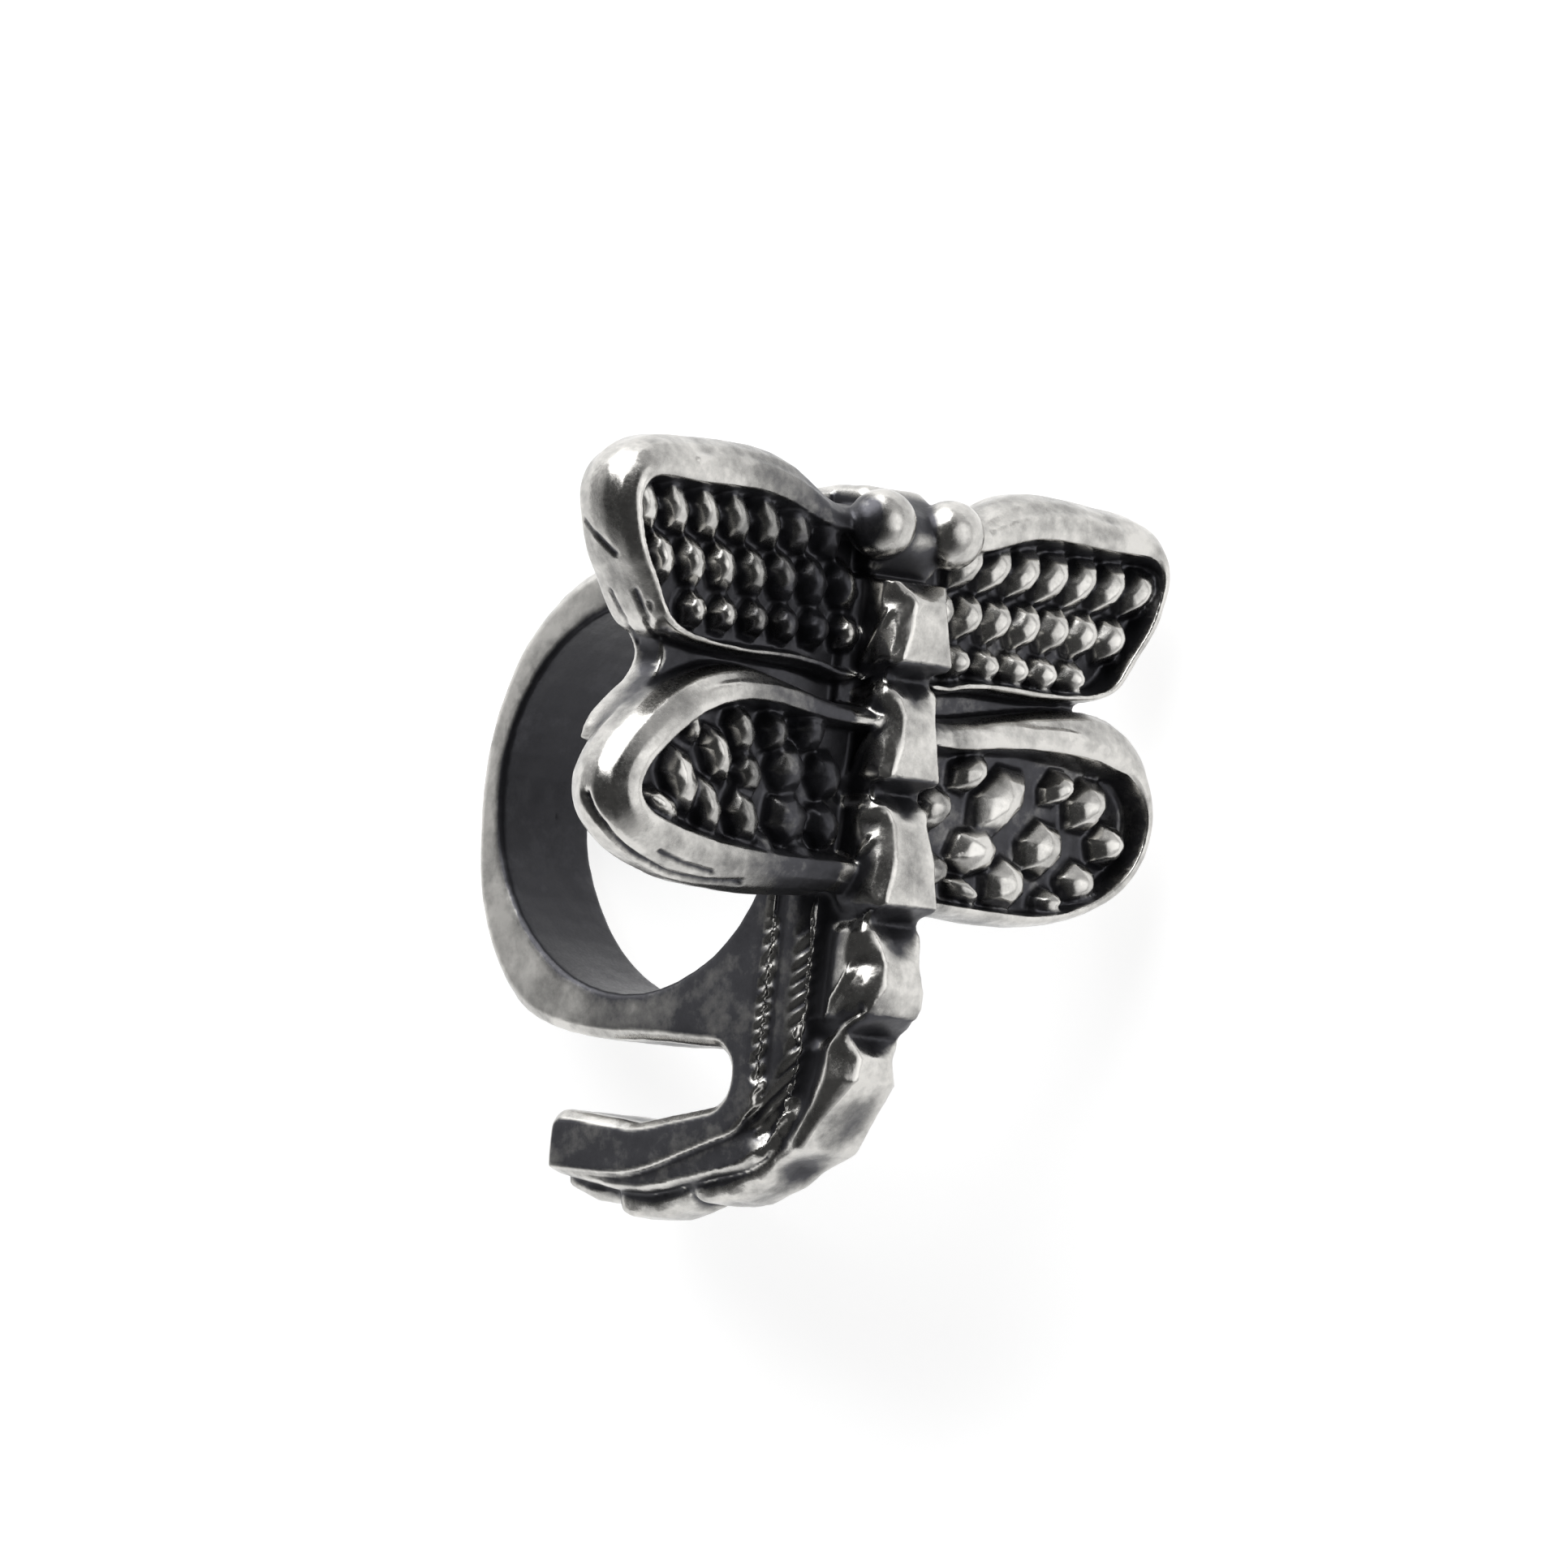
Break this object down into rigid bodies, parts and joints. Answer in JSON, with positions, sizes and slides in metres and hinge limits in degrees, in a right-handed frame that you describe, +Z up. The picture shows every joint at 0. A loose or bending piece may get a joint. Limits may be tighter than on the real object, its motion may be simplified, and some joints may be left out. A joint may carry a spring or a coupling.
{
  "type": "dragonfly charm",
  "caption": "One-piece cast silver charm: a dragonfly on the front of a ring that a bracelet strand passes through, with a tail curling back below it.",
  "frame": {"origin": "middle of the bounding box at its base, on the surface that the charm lies on", "axes": "+Z up as the charm rests on one upper and one lower wing and the ring's edge; +Y towards the dragonfly's head end; the hole runs along the strand_hole mount's axis"},
  "size_m": [0.0084, 0.0094, 0.0083],
  "materials": {
    "oxidised_silver": "cast sterling silver, oxidised nearly black in the recesses and polished on the high parts"
  },
  "bodies": {
    "root": {"charm_casting": "oxidised_silver"}
  },
  "joints": []
}
